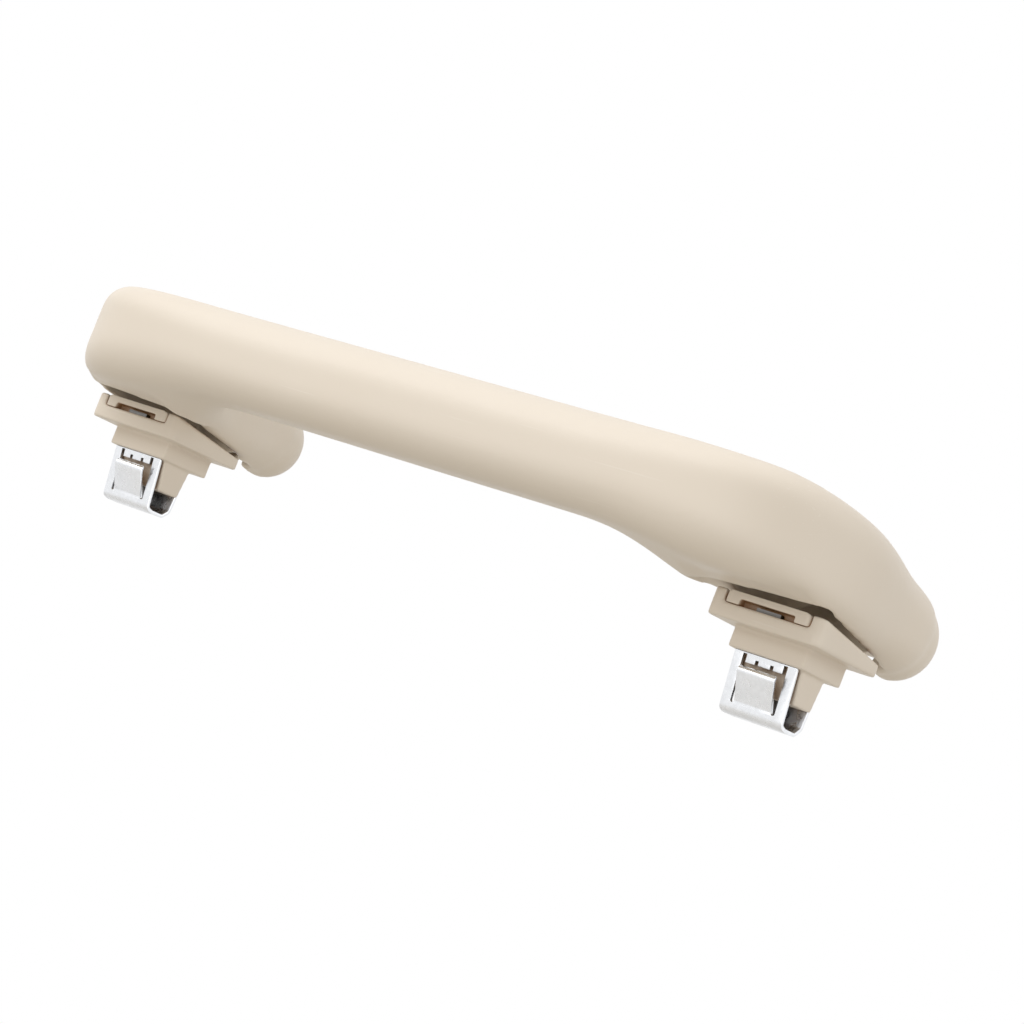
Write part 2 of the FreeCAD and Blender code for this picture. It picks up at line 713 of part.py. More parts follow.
def build_spring_clip(side, across):
    """Fold the steel clip: two legs round the tongue, a bent-out barb and a toothed upper edge."""
    body = start_body(f"{side}_spring_clip", across)
    section = start_sketch(body, "leg_section", "YZ_Plane")
    gauge = "clip_gauge"
    tip_front = "clip_tip_back - clip_tip_front"
    tip_rear = "clip_tip_back + clip_tip_rear"
    draw_loop(section, [
        ("clip_front_top", "clip_top"), ("clip_front_low", "clip_low"), (tip_front, "clip_tip"),
        (tip_rear, "clip_tip"), ("clip_rear_low", "clip_low"), ("clip_rear_top", "clip_top"),
        (f"clip_rear_top - {gauge}", "clip_top"), (f"clip_rear_low - {gauge}", f"clip_low + {gauge} / 4"),
        (f"{tip_rear} - {gauge} / 2", f"clip_tip + {gauge}"),
        (f"{tip_front} + {gauge} / 2", f"clip_tip + {gauge}"),
        (f"clip_front_low + {gauge}", f"clip_low + {gauge} / 4"), (f"clip_front_top + {gauge}", "clip_top"),
    ])
    add_pad(body, "legs", section, "2 * clip_half")
    behind = ("0", "0", "-clip_tip_back + overlap")
    window = start_sketch(body, "window_plan", "XZ_Plane", behind)
    draw_box(window, "-window_half", "window_half", "window_low", "window_top")
    add_pocket(body, "window", window, "leg_cut_depth", False, True)
    for sign in ("-", ""):
        gap = start_sketch(body, "tooth_gap", "XZ_Plane", behind)
        place = f"{sign}tooth_gap_place"
        draw_box(
            gap, f"{place} - tooth_gap_half", f"{place} + tooth_gap_half", "clip_top - tooth_height",
            "clip_top + overlap",
        )
        add_pocket(body, "tooth_gap_cut", gap, "leg_cut_depth", False, True)
    tab = start_sketch(body, "tab_section", "YZ_Plane")
    draw_loop(tab, [
        ("clip_front_low", "clip_low"), (f"clip_front_low + {gauge}", "clip_low"),
        (f"tab_reach + {gauge}", "tab_top - tab_bend / 2"),
        (f"tab_reach + {gauge} + tab_lip", "tab_top + tab_bend"),
        (f"tab_reach + {gauge} + tab_lip", f"tab_top + tab_bend + {gauge}"), ("tab_reach", "tab_top"),
    ])
    add_pad(body, "tab", tab, "2 * tab_half")
    return body


def build_hinge_pin(side, across):
    """Turn the steel pin that is pressed into the knuckle and runs in the grip's sockets."""
    body = start_body(f"{side}_hinge_pin", across)
    section = start_sketch(body, "pin_section", "YZ_Plane")
    draw_ring(section, "hinge_back", "hinge_height", "pin_radius")
    add_pad(body, "pin", section, "2 * (hollow_rear_half + socket_depth)")
    add_rounding(body, "pin_ends", "pin_bevel", lambda edge: True, chamfer=True)
    return body


def build_return_spring(across):
    """Wind the torsion spring that folds the grip up against the roof."""
    body = start_body("return_spring", across)
    place = ("-(knuckle_half + wire_radius + coil_clearance)", "hinge_height", "-hinge_back")
    wire = start_sketch(body, "wire_section", "XZ_Plane", place)
    draw_hexagon(wire, "0", "coil_radius", "wire_radius")
    coil = body.newObject("PartDesign::AdditiveHelix", "coil")
    coil.Profile = wire
    coil.ReferenceAxis = (wire, ["H_Axis"])
    coil.Mode = "pitch-turns-angle"
    tie(coil, "Pitch", "coil_pitch")
    tie(coil, "Turns", "coil_turns")
    coil.Reversed = True
    finish(body, coil)
    return body


def build_damper(across):
    """Make the slow-return damper: a cup keyed to the grip, a rotor on the pin, a cover and a seal."""
    axis_shift = ("0", "hinge_height", "-hinge_back")
    near = "(knuckle_half + free_gap)"
    far = "(hollow_rear_half - slide_fit)"
    bore = "pin_radius + free_gap"
    inside = "damper_radius - damper_wall"
    housing = start_body("damper_housing", across)
    cup = start_sketch(housing, "cup_section", "XZ_Plane", axis_shift)
    draw_loop(cup, [
        (f"{near} + cover_gauge", inside), (near, inside), (near, "damper_radius"), (far, "damper_radius"),
        (far, bore), (f"{far} - damper_wall", bore), (f"{far} - damper_wall", inside),
    ])
    add_turned(housing, "cup", cup)
    lug_place = ("hinge_back", "hinge_height", f"{near} + overlap")
    lug = start_sketch(housing, "lug_section", "YZ_Plane", lug_place)
    draw_box(lug, "-key_half", "key_half", "damper_radius - damper_wall", "key_reach - slide_fit")
    add_pad(housing, "lug", lug, "key_length - overlap - slide_fit", False)

    rotor = start_body("damper_rotor", across)
    disc = start_sketch(rotor, "disc_section", "XZ_Plane", axis_shift)
    start = f"{near} + 2 * seal_radius + rotor_gap"
    end = f"{far} - damper_wall - rotor_gap"
    draw_box(disc, start, end, "pin_radius + seat_fit", f"{inside} - rotor_gap")
    add_turned(rotor, "disc", disc)

    cover = start_body("damper_cover", across)
    ring = start_sketch(cover, "ring_section", "XZ_Plane", axis_shift)
    eye = "pin_radius + 2 * seal_radius + seat_fit"
    draw_box(ring, near, f"{near} + cover_gauge", eye, f"{inside} - seat_fit")
    add_turned(cover, "ring", ring)

    seal = start_body("damper_seal", across)
    loop = start_sketch(seal, "seal_section", "XZ_Plane", axis_shift)
    draw_hexagon(loop, f"{near} + seal_radius", "pin_radius + seal_radius + seat_fit", "seal_radius")
    add_turned(seal, "seal", loop)


def export_nodes():
    """Check each sub-part and write it to its own file."""
    os.makedirs(OUTPUT_FOLDER, exist_ok=True)
    document.recompute()
    for item in document.Objects:
        if "Invalid" in item.State or "Error" in item.State:
            raise ValueError(f"{item.Name} is in state {item.State}")
    for body in nodes:
        shape = body.Shape
        if shape.isNull() or not shape.isValid() or len(shape.Solids) != 1:
            raise ValueError(f"{body.Label}: {len(shape.Solids)} solids, valid {shape.isValid()}")
        shape.exportStep(os.path.join(OUTPUT_FOLDER, f"{body.Label}.step"))
        box = shape.BoundBox
        spans = " ".join(
            f"{low:.1f}..{high:.1f}"
            for low, high in ((box.XMin, box.XMax), (box.YMin, box.YMax), (box.ZMin, box.ZMax))
        )
        print(f"{body.Label}: {shape.Volume / 1000:.2f} cm3, {spans}")


fill_sheet()
build_grip()
for side, across in (("left", "-clip_pitch / 2"), ("right", "clip_pitch / 2")):
    build_hinge_block(side, across)
    build_spring_clip(side, across)
    build_lock_wedge(side, across)
    build_wedge_blade(side, across)
    build_hinge_pin(side, across)
build_return_spring("-clip_pitch / 2")
build_damper("clip_pitch / 2")
export_nodes()
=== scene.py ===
"""Looks of a folding roof grab handle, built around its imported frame.

X runs along the grip, Y from the bar towards the hinges and Z away from the roof, in metres.
"""

import math

import bmesh
import bpy
from bpy.props import FloatProperty, FloatVectorProperty, IntProperty, PointerProperty
from mathutils import Matrix, Vector


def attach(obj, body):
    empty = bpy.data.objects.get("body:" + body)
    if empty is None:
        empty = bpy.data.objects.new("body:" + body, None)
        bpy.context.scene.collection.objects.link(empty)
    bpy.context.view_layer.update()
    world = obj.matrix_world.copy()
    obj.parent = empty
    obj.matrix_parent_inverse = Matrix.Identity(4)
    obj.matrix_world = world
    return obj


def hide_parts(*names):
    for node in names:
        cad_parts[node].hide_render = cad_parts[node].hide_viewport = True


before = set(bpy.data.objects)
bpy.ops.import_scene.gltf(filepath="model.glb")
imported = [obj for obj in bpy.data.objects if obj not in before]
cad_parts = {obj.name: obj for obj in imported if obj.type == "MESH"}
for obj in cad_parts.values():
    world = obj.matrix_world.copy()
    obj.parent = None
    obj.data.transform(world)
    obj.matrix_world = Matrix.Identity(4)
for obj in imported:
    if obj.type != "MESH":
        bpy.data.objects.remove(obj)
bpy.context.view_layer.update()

bl_info = {
    "name": "Roof Grab Handle",
    "version": (1, 0, 0),
    "blender": (4, 5, 0),
    "location": "3D View > Sidebar > Grab Handle",
    "description": "Dresses a folding roof grab handle in moulded plastic and plated steel",
    "category": "Object",
}

MM = 0.001
SIDES = {"left": -1, "right": 1}
MERGE_REACH = 0.000002
HALF_TURN = math.pi
FULL_TURN = 2 * math.pi
NOISE_LOW = 0.3
NOISE_HIGH = 0.7
HOLLOW_SAMPLES = 8


class GrabHandleSizes(bpy.types.PropertyGroup):
    """Sizes of the modelled pieces."""

    bracket_place: FloatProperty(
        name="Bracket place", description="Distance of each bracket from the middle of the handle",
        default=100 * MM, unit="LENGTH")
    hinge_place: FloatVectorProperty(
        name="Hinge axis", description="Place of the hinge axis across and above the roof",
        default=(0.0, 26.8 * MM, 11.9 * MM), subtype="TRANSLATION")
    grip_grid: FloatProperty(
        name="Grip mesh size", description="Spacing of the grip's even mesh",
        default=0.67 * MM, unit="LENGTH")
    grip_passes: IntProperty(
        name="Grip smoothing", description="Smoothing passes that round the grip's moulded edges",
        default=8, min=0)
    rim_lift: FloatProperty(
        name="Rim lift", description="How far the grip's lower front edge stands above its line",
        default=1.15 * MM, unit="LENGTH")
    block_grid: FloatProperty(
        name="Bracket mesh size", description="Spacing of the bracket mouldings' even mesh",
        default=0.27 * MM, unit="LENGTH")
    block_passes: IntProperty(
        name="Bracket smoothing", description="Smoothing passes that round the bracket mouldings' edges",
        default=10, min=0)
    head_grid: FloatProperty(
        name="Wedge mesh size", description="Spacing of the lock wedges' even mesh",
        default=0.2 * MM, unit="LENGTH")
    head_passes: IntProperty(
        name="Wedge smoothing", description="Smoothing passes that round the lock wedges' edges",
        default=4, min=0)
    clip_gauge: FloatProperty(
        name="Clip gauge", description="Thickness of the clip's steel",
        default=0.8 * MM, unit="LENGTH")
    clip_half: FloatProperty(
        name="Clip half width", description="Half of the clip's width", default=8.3 * MM, unit="LENGTH")
    clip_bend: FloatProperty(
        name="Clip bend", description="Radius of the clip's folds", default=1.1 * MM, unit="LENGTH")
    clip_edge: FloatProperty(
        name="Clip edge", description="Width of the rounding on the clip's cut edges",
        default=0.13 * MM, unit="LENGTH")
    slit_inner: FloatProperty(
        name="Slit inner edge", description="Distance of each slit's inner edge from the middle",
        default=4.9 * MM, unit="LENGTH")
    slit_width: FloatProperty(
        name="Slit width", description="Width of the slits beside the barb",
        default=1.05 * MM, unit="LENGTH")
    slit_end: FloatProperty(
        name="Slit end", description="Distance of the slits' lower ends from the clip's upper edge",
        default=11.2 * MM, unit="LENGTH")
    teeth_low: FloatProperty(
        name="Teeth depth", description="Distance of the teeth's points from the clip's upper edge",
        default=2.1 * MM, unit="LENGTH")
    teeth_gap: FloatProperty(
        name="Teeth gap", description="Width of the gaps between the teeth",
        default=0.9 * MM, unit="LENGTH")
    barb_top: FloatProperty(
        name="Barb top", description="Distance of the barb's free edge from the clip's upper edge",
        default=2.7 * MM, unit="LENGTH")
    wire_radius: FloatProperty(
        name="Spring wire", description="Radius of the return spring's wire",
        default=0.45 * MM, unit="LENGTH")
    coil_radius: FloatProperty(
        name="Coil radius", description="Radius of the return spring's coil",
        default=4.5 * MM, unit="LENGTH")


class GrabHandleFinish(bpy.types.PropertyGroup):
    """Colours and textures of the materials."""

    beige: FloatVectorProperty(
        name="Beige", description="Colour of the moulded plastic", subtype="COLOR", size=3,
        default=(0.83, 0.756, 0.66), min=0, max=1)
    # Also the tone that the beige takes on sharply jutting edges.
    beige_pale: FloatVectorProperty(
        name="Pale beige", description="Colour of rubbed edges and fine scratches", subtype="COLOR",
        size=3, default=(0.9, 0.84, 0.76), min=0, max=1)
    # Painted shade: the dark brown that the beige is turned to inside hollows and gaps.
    painted_shade_beige: FloatVectorProperty(
        name="Deep beige", description="Colour of the plastic inside hollows", subtype="COLOR", size=3,
        default=(0.35, 0.175, 0.065), min=0, max=1)
    zinc: FloatVectorProperty(
        name="Zinc", description="Colour of the plated clip", subtype="COLOR", size=3,
        default=(0.88, 0.895, 0.92), min=0, max=1)
    # Painted shade: the dark olive grey that the metals are turned to in folds and recesses.
    painted_shade_grey: FloatVectorProperty(
        name="Soiled zinc", description="Colour in the clip's folds", subtype="COLOR", size=3,
        default=(0.09, 0.09, 0.075), min=0, max=1)
    bare_steel: FloatVectorProperty(
        name="Bare steel", description="Colour of the pins and the blades", subtype="COLOR", size=3,
        default=(0.3, 0.29, 0.29), min=0, max=1)
    spring_steel: FloatVectorProperty(
        name="Spring steel", description="Colour of the return spring", subtype="COLOR", size=3,
        default=(0.22, 0.22, 0.23), min=0, max=1)
    dark_plastic: FloatVectorProperty(
        name="Dark plastic", description="Colour of the damper", subtype="COLOR", size=3,
        default=(0.035, 0.034, 0.033), min=0, max=1)
    rubber: FloatVectorProperty(
        name="Rubber", description="Colour of the damper's seal", subtype="COLOR", size=3,
        default=(0.02, 0.02, 0.021), min=0, max=1)
    plastic_roughness: FloatProperty(
        name="Plastic roughness", description="Roughness of the satin moulding", default=0.44,
        subtype="FACTOR", min=0, max=1)
    grain_scale: FloatProperty(
        name="Grain scale", description="Fineness of the moulded grain", default=2600.0)
    grain_depth: FloatProperty(
        name="Grain depth", description="Height of the moulded grain", default=0.012 * MM, unit="LENGTH")


class GrabHandleStudio(bpy.types.PropertyGroup):
    """Camera, lamps and floor."""

    camera_place: FloatVectorProperty(
        name="Camera place", description="Where the camera stands", subtype="TRANSLATION",
        default=(0.454458, -0.549932, -0.052077))
    camera_right: FloatVectorProperty(
        name="Camera right", description="Direction of the picture's right edge", subtype="XYZ",
        default=(0.746991, 0.557552, 0.362132))
    camera_down: FloatVectorProperty(
        name="Camera down", description="Direction of the picture's lower edge", subtype="XYZ",
        default=(0.232825, 0.290817, -0.928018))
    camera_lens: FloatProperty(
        name="Camera lens", description="Focal length in millimetres", default=106.374)
    camera_sensor: FloatProperty(
        name="Camera sensor", description="Width of the sensor in millimetres", default=36.0)
    key_power: FloatProperty(
        name="Key power", description="Power of the large lamp above", default=5.9, unit="POWER")
    side_power: FloatProperty(
        name="Side power", description="Power of the soft lamp at the left", default=5.0, unit="POWER")
    end_power: FloatProperty(
        name="End power", description="Power of the soft lamp at the right", default=3.3, unit="POWER")
    front_power: FloatProperty(
        name="Front power", description="Power of the soft lamp in front", default=2.2, unit="POWER")
    key_size: FloatProperty(
        name="Key size", description="Diameter of the lamp above", default=1.8, unit="LENGTH")
    side_size: FloatProperty(
        name="Side size", description="Diameter of the lamp at the left", default=1.0, unit="LENGTH")
    end_size: FloatProperty(
        name="End size", description="Diameter of the lamp at the right", default=1.4, unit="LENGTH")
    front_size: FloatProperty(
        name="Front size", description="Diameter of the lamp in front", default=1.0, unit="LENGTH")
    key_place: FloatVectorProperty(
        name="Key place", description="Where the lamp above hangs", subtype="TRANSLATION",
        default=(-0.25, -0.45, 1.1))
    side_place: FloatVectorProperty(
        name="Side place", description="Where the lamp at the left hangs", subtype="TRANSLATION",
        default=(-0.7, -0.9, 0.75))
    end_place: FloatVectorProperty(
        name="End place", description="Where the lamp at the right hangs", subtype="TRANSLATION",
        default=(1.1, 0.15, 0.35))
    front_place: FloatVectorProperty(
        name="Front place", description="Where the lamp in front hangs", subtype="TRANSLATION",
        default=(0.15, -1.2, 0.12))
    fill_level: FloatProperty(
        name="Fill level", description="Brightness of the surroundings on the object", default=0.47)
    fill_colour: FloatVectorProperty(
        name="Fill colour", description="Colour of the surroundings' light on the object",
        subtype="COLOR", size=3, default=(1.0, 0.945, 0.865), min=0, max=1)
    floor_level: FloatProperty(
        name="Floor height", description="Height of the studio floor", default=-420 * MM, unit="LENGTH")
    floor_radius: FloatProperty(
        name="Floor radius", description="Radius of the studio floor", default=1.5, unit="LENGTH")
    fade_start: FloatProperty(
        name="Fade start", description="Share of the floor's radius from which it fades", default=0.2)
    fade_end: FloatProperty(
        name="Fade end", description="Share of the floor's radius at which it is all white",
        default=0.95)
    floor_light: FloatVectorProperty(
        name="Floor light", description="Colour of the light that the floor gives back to the object",
        subtype="COLOR", size=3, default=(0.6, 0.57, 0.515), min=0, max=1)
    floor_colour: FloatVectorProperty(
        name="Floor colour", description="Colour of the studio floor", subtype="COLOR", size=3,
        default=(0.86, 0.86, 0.855), min=0, max=1)


# Materials

def start_material(name):
    """Make a material and give back its node tree and its surface shader."""
    material = bpy.data.materials.get(name) or bpy.data.materials.new(name)
    material.use_nodes = True
    tree = material.node_tree
    tree.nodes.clear()
    shader = tree.nodes.new("ShaderNodeBsdfPrincipled")
    output = tree.nodes.new("ShaderNodeOutputMaterial")
    tree.links.new(shader.outputs["BSDF"], output.inputs["Surface"])
    return material, tree, shader


def place_on_object(tree, scale=(1, 1, 1), turn=(0, 0, 0)):
    """Give object coordinates, stretched and turned."""
    source = tree.nodes.new("ShaderNodeTexCoord")
    mapping = tree.nodes.new("ShaderNodeMapping")
    mapping.inputs["Scale"].default_value = scale
    mapping.inputs["Rotation"].default_value = turn
    tree.links.new(source.outputs["Object"], mapping.inputs["Vector"])
    return mapping.outputs["Vector"]


def add_noise(tree, vector, scale, detail=2.0, roughness=0.5):
    """Give cloudy noise between 0 and 1."""
    noise = tree.nodes.new("ShaderNodeTexNoise")
    noise.inputs["Scale"].default_value = scale
    noise.inputs["Detail"].default_value = detail
    noise.inputs["Roughness"].default_value = roughness
    tree.links.new(vector, noise.inputs["Vector"])
    return noise.outputs["Fac"]


def add_range(tree, value, low, high, new_low, new_high):
    """Map a value from one range to another, held at both ends."""
    node = tree.nodes.new("ShaderNodeMapRange")
    limits = {"From Min": low, "From Max": high, "To Min": new_low, "To Max": new_high}
    for name, limit in limits.items():
        node.inputs[name].default_value = limit
    tree.links.new(value, node.inputs["Value"])
    return node.outputs["Result"]


def add_product(tree, first, second):
    """Multiply two values."""
    node = tree.nodes.new("ShaderNodeMath")
    node.operation = "MULTIPLY"
    tree.links.new(first, node.inputs[0])
    tree.links.new(second, node.inputs[1])
    return node.outputs["Value"]


def mix_colours(tree, amount, first, second):
    """Mix two colours, each a plain colour or an output of another node."""
    node = tree.nodes.new("ShaderNodeMix")
    node.data_type = "RGBA"
    for socket, colour in ((node.inputs[6], first), (node.inputs[7], second)):
        if isinstance(colour, bpy.types.NodeSocket):
            tree.links.new(colour, socket)
        else:
            socket.default_value = (*colour, 1)
    tree.links.new(amount, node.inputs[0])
    return node.outputs[2]


def scaled_colour(colour, share):
    """Give a darker or paler tone of a colour."""
    return [share * part for part in colour]


def add_bump(tree, height, distance, strength, before=None):
    """Raise the surface by a height, on top of an earlier bump."""
    node = tree.nodes.new("ShaderNodeBump")
    node.inputs["Distance"].default_value = distance
    node.inputs["Strength"].default_value = strength
    tree.links.new(height, node.inputs["Height"])
    if before is not None:
        tree.links.new(before, node.inputs["Normal"])
    return node.outputs["Normal"]


def jutting_edges(tree, low, high):
    """Give how sharply the surface juts out, between 0 and 1."""
    geometry = tree.nodes.new("ShaderNodeNewGeometry")
    return add_range(tree, geometry.outputs["Pointiness"], low, high, 0, 1)


def painted_shade_amount(tree, reach, closed, open_level):
    """Give 1 deep inside a recess and 0 on open surfaces, from ambient occlusion; this places painted
    shade.
    """
    hollow = tree.nodes.new("ShaderNodeAmbientOcclusion")
    hollow.inputs["Distance"].default_value = reach
    hollow.samples = HOLLOW_SAMPLES
    return add_range(tree, hollow.outputs["AO"], closed, open_level, 1, 0)


def spread_noise(tree, noise, new_low, new_high):
    """Map the usual spread of noise to a range of its own."""
    return add_range(tree, noise, NOISE_LOW, NOISE_HIGH, new_low, new_high)


def scratch_lines(tree, turn, fineness):
    """Give sparse hairline scratches that lie one way."""
    along = 14.0
    stretched = place_on_object(tree, (along, fineness, fineness), turn)
    lines = add_noise(tree, stretched, scale=1.0, detail=1.0)
    thin = add_range(tree, lines, low=0.69, high=0.73, new_low=0, new_high=1)
    patches = add_noise(tree, place_on_object(tree), scale=42.0, detail=1.0)
    where = add_range(tree, patches, low=0.5, high=0.62, new_low=0, new_high=1)
    return add_product(tree, thin, where)


def beige_moulding(name, reach=6.0 * MM, closed=0.05, open_level=0.5):
    """Satin beige plastic with a fine moulded grain, faint mottling, scratches, paler jutting edges and
    painted shade in its hollows.
    """
    finish = bpy.context.scene.grab_handle_finish
    material, tree, shader = start_material(name)
    plain = place_on_object(tree)
    clouds = add_noise(tree, plain, scale=26.0, detail=3.0)
    mottling = spread_noise(tree, clouds, new_low=0, new_high=0.16)
    tint = mix_colours(tree, mottling, finish.beige, finish.beige_pale)
    scratches = scratch_lines(tree, turn=(0.25, 0.5, 0.95), fineness=1500.0)
    faint = add_range(tree, scratches, low=0, high=1, new_low=0, new_high=0.4)
    scratched = mix_colours(tree, faint, tint, finish.beige_pale)
    # The beige goes paler on sharply jutting edges.
    edges = jutting_edges(tree, low=0.54, high=0.62)
    paled = add_range(tree, edges, low=0, high=1, new_low=0, new_high=0.3)
    paled_tint = mix_colours(tree, paled, scratched, finish.beige_pale)
    # Painted shade: ambient occlusion turns the beige dark brown deep in hollows and in the gaps between
    # parts.
    depth = painted_shade_amount(tree, reach, closed, open_level)
    tree.links.new(mix_colours(tree, depth, paled_tint, finish.painted_shade_beige), shader.inputs["Base Color"])
    satin = add_noise(tree, plain, scale=900.0, detail=2.0)
    spread = 0.09
    smoothest = finish.plastic_roughness - 0.04
    tree.links.new(spread_noise(tree, satin, smoothest, smoothest + spread), shader.inputs["Roughness"])
    waves = add_noise(tree, plain, scale=260.0, detail=1.0)
    orange_peel = add_bump(tree, waves, distance=0.02 * MM, strength=0.25)
    grain = add_noise(tree, plain, finish.grain_scale, detail=3.0, roughness=0.6)
    relief = add_bump(tree, grain, finish.grain_depth, strength=0.55, before=orange_peel)
    tree.links.new(relief, shader.inputs["Normal"])
    shader.inputs["Specular IOR Level"].default_value = 0.42
    return material


def plated_steel(name):
    """Bright zinc plating with spangle, fine rolling lines, small pits and painted shade in its folds.
    """
    finish = bpy.context.scene.grab_handle_finish
    material, tree, shader = start_material(name)
    plain = place_on_object(tree)
    spangle = tree.nodes.new("ShaderNodeTexVoronoi")
    spangle.inputs["Scale"].default_value = 900.0
    tree.links.new(plain, spangle.inputs["Vector"])
    flakes = add_range(tree, spangle.outputs["Distance"], low=0, high=0.8, new_low=0, new_high=0.25)
    bright = mix_colours(tree, flakes, finish.zinc, scaled_colour(finish.zinc, 0.72))
    # Painted shade: ambient occlusion turns the zinc dark olive grey inside the clip's folds and its U.
    depth = painted_shade_amount(tree, reach=3.6 * MM, closed=0.12, open_level=0.55)
    tree.links.new(mix_colours(tree, depth, bright, finish.painted_shade_grey), shader.inputs["Base Color"])
    blotches = add_noise(tree, plain, scale=520.0, detail=3.0, roughness=0.6)
    tree.links.new(spread_noise(tree, blotches, new_low=0.2, new_high=0.42), shader.inputs["Roughness"])
    rolling = add_noise(tree, place_on_object(tree, scale=(2600, 2600, 60)), scale=1.0, detail=2.0)
    lines = add_bump(tree, rolling, distance=0.008 * MM, strength=0.4)
    dents = add_bump(tree, blotches, distance=0.03 * MM, strength=0.35, before=lines)
    tree.links.new(dents, shader.inputs["Normal"])
    shader.inputs["Metallic"].default_value = 1.0
    return material


def plain_metal(name, colour, roughness, line_scale):
    """Turned or drawn steel with fine lines and painted shade in its recesses."""
    finish = bpy.context.scene.grab_handle_finish
    material, tree, shader = start_material(name)
    lines = add_noise(tree, place_on_object(tree, line_scale), scale=1.0, detail=2.0)
    share = add_range(tree, lines, low=0.35, high=0.65, new_low=0, new_high=1)
    tint = mix_colours(tree, share, colour, scaled_colour(colour, 0.7))
    # Painted shade: ambient occlusion darkens the steel in recesses, such as the blade in the wedge's
    # notch.
    depth = painted_shade_amount(tree, reach=3.0 * MM, closed=0.3, open_level=0.8)
    tree.links.new(mix_colours(tree, depth, tint, finish.painted_shade_grey), shader.inputs["Base Color"])
    smoothest = roughness - 0.06
    roughest = roughness + 0.08
    tree.links.new(spread_noise(tree, lines, smoothest, roughest), shader.inputs["Roughness"])
    relief = add_bump(tree, lines, distance=0.006 * MM, strength=0.4)
    tree.links.new(relief, shader.inputs["Normal"])
    shader.inputs["Metallic"].default_value = 1.0
    return material


def dark_moulding(name, colour, roughness, grain):
    """Dark plastic or rubber with a fine grain."""
    material, tree, shader = start_material(name)
    cloud = add_noise(tree, place_on_object(tree), grain, detail=3.0)
    share = spread_noise(tree, cloud, new_low=0, new_high=0.7)
    tint = mix_colours(tree, share, colour, scaled_colour(colour, 1.7))
    tree.links.new(tint, shader.inputs["Base Color"])
    smoothest = roughness - 0.05
    roughest = roughness + 0.08
    tree.links.new(spread_noise(tree, cloud, smoothest, roughest), shader.inputs["Roughness"])
    relief = add_bump(tree, cloud, distance=0.01 * MM, strength=0.5)
    tree.links.new(relief, shader.inputs["Normal"])
    return material


# Meshes

def finish_piece(mesh_maker, name, material, body, nodes):
    """Turn a bmesh into a piece that rides a body and stands for its nodes."""
    mesh = bpy.data.meshes.new(name)
    mesh_maker.to_mesh(mesh)
    mesh_maker.free()
    return keep_piece(mesh, name, material, body, nodes)


def keep_piece(mesh, name, material, body, nodes):
    """Show a mesh as a piece that rides a body and stands for its nodes."""
    mesh.materials.clear()
    mesh.materials.append(material)
    piece = bpy.data.objects.new(name, mesh)
    bpy.context.scene.collection.objects.link(piece)
    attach(piece, body)
    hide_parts(*nodes)
    return piece


def applied_mesh(piece, name):
    """Give the mesh of an object with its modifiers applied."""
    bpy.context.view_layer.update()
    graph = bpy.context.evaluated_depsgraph_get()
    mesh = bpy.data.meshes.new_from_object(piece.evaluated_get(graph))
    mesh.name = name
    return mesh


def even_moulding(node, name, grid, passes):
    """Copy a moulded node with an even mesh whose edges have the soft radius of a moulding."""
    maker = bmesh.new()
    maker.from_mesh(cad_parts[node].data)
    bmesh.ops.remove_doubles(maker, verts=maker.verts, dist=MERGE_REACH)
    rough_mesh = bpy.data.meshes.new(f"{name}_rough")
    maker.to_mesh(rough_mesh)
    maker.free()
    rough = bpy.data.objects.new(f"{name}_rough", rough_mesh)
    bpy.context.scene.collection.objects.link(rough)
    remesh = rough.modifiers.new("even_mesh", "REMESH")
    remesh.mode = "VOXEL"
    remesh.voxel_size = grid
    mesh = applied_mesh(rough, name)
    bpy.data.objects.remove(rough)
    maker = bmesh.new()
    maker.from_mesh(mesh)
    for _ in range(passes):
        bmesh.ops.smooth_vert(
            maker, verts=maker.verts, factor=0.5, use_axis_x=True, use_axis_y=True, use_axis_z=True)
    for face in maker.faces:
        face.smooth = True
    maker.to_mesh(mesh)
    maker.free()
    return mesh


def eased(value, start, end):
    """Give 0 up to the start, 1 from the end on and a soft step between."""
    share = min(1.0, max(0.0, (value - start) / (end - start)))
    return share * share * (3 - 2 * share)


def raise_front_rim(mesh, sizes):
    """Raise the grip's lower front edge above each bracket, so that a dark gap shows there."""
    inner_end, inner_full = -20 * MM, -13 * MM
    outer_full, outer_end = 11 * MM, 15.5 * MM
    front_end, front_full = -32 * MM, -22 * MM
    rear_full, rear_end = -12 * MM, -4 * MM
    low_full, low_end = 7.5 * MM, 11 * MM
    for vertex in mesh.vertices:
        across = abs(vertex.co.x) - sizes.bracket_place
        beside = eased(across, inner_end, inner_full) * (1 - eased(across, outer_full, outer_end))
        front = eased(vertex.co.y, front_end, front_full)
        before = front * (1 - eased(vertex.co.y, rear_full, rear_end))
        below = 1 - eased(vertex.co.z, low_full, low_end)
        vertex.co.z += sizes.rim_lift * beside * before * below


def folded_path(corners, radius):
    """Give a function from a length along a line with rounded corners to its point on the YZ plane."""
    points = [Vector(corner) for corner in corners]
    steps = []
    start = points[0]
    for before, corner, after in zip(points, points[1:], points[2:]):
        incoming = (corner - before).normalized()
        outgoing = (after - corner).normalized()
        turn = incoming.angle_signed(outgoing)
        trim = radius * math.tan(abs(turn) / 2)
        bend_start = corner - incoming * trim
        steps.append(("line", start, incoming, (bend_start - start).length))
        steps.append(("bend", bend_start, incoming, abs(turn) * radius, turn))
        start = corner + outgoing * trim
    last = points[-1] - start
    steps.append(("line", start, last.normalized(), last.length))

    def point_at(length):
        for step in steps:
            if length <= step[3] or step is steps[-1]:
                break
            length -= step[3]
        if step[0] == "line":
            return step[1] + step[2] * length
        sign = math.copysign(1.0, step[4])
        angle = sign * length / radius
        inward = Vector((step[2].y, -step[2].x)) * sign
        centre = step[1] + inward * radius
        return centre + Matrix.Rotation(-angle, 2) @ (step[1] - centre)

    return point_at, sum(step[3] for step in steps)


